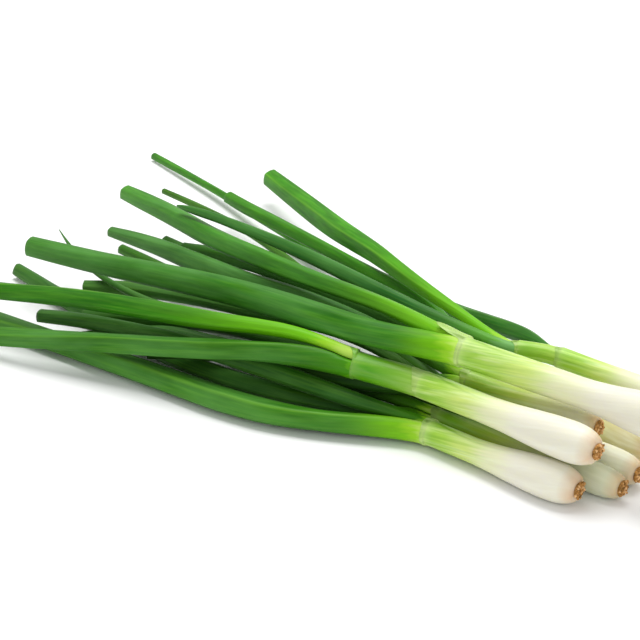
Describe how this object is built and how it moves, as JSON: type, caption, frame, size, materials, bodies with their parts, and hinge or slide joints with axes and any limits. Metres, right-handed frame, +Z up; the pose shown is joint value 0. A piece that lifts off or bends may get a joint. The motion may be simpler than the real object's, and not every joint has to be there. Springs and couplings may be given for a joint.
{
  "type": "spring onion bunch",
  "caption": "Loose bunch of spring onions lying on its side: white bulbs with root plates at one end, green hollow leaves fanning out at the other.",
  "frame": {"origin": "middle of the bounding box seen from above, on the table it lies on", "axes": "+X along the bunch toward the bulbs, +Z up from the table, +Y toward the side where the leaves spread furthest back"},
  "size_m": [0.4282, 0.2325, 0.0453],
  "materials": {
    "white_sheath": "smooth, faintly ribbed, satin, stands for moist bulb skin",
    "green_leaf": "smooth, finely veined, slightly waxy, stands for leaf",
    "root": "dry and fibrous, stands for the root plate and root stubs"
  },
  "bodies": {
    "root": {"onion_1_shaft": "white_sheath", "onion_2_shaft": "white_sheath", "onion_3_shaft": "white_sheath", "onion_4_shaft": "white_sheath", "onion_5_shaft": "white_sheath", "onion_6_shaft": "white_sheath", "onion_7_shaft": "white_sheath", "onion_8_shaft": "white_sheath", "onion_2_sheath": "white_sheath", "onion_4_sheath": "white_sheath", "onion_1_roots": "root", "onion_2_roots": "root", "onion_3_roots": "root", "onion_4_roots": "root", "onion_5_roots": "root", "onion_6_roots": "root", "onion_7_roots": "root", "onion_8_roots": "root", "onion_1_leaf_a": "green_leaf", "onion_1_leaf_b": "green_leaf", "onion_2_leaf_a": "green_leaf", "onion_2_leaf_b": "green_leaf", "onion_2_leaf_c": "green_leaf", "onion_3_leaf_a": "green_leaf", "onion_3_leaf_b": "green_leaf", "onion_4_leaf_a": "green_leaf", "onion_4_leaf_b": "green_leaf", "onion_4_leaf_c": "green_leaf", "onion_5_leaf_a": "green_leaf", "onion_5_leaf_b": "green_leaf", "onion_5_leaf_c": "green_leaf", "onion_6_leaf_a": "green_leaf", "onion_6_leaf_b": "green_leaf", "onion_6_leaf_c": "green_leaf", "onion_7_leaf_a": "green_leaf", "onion_7_leaf_b": "green_leaf", "onion_7_leaf_c": "green_leaf", "onion_8_leaf_a": "green_leaf", "onion_8_leaf_b": "green_leaf", "onion_8_leaf_c": "green_leaf"}
  },
  "joints": []
}
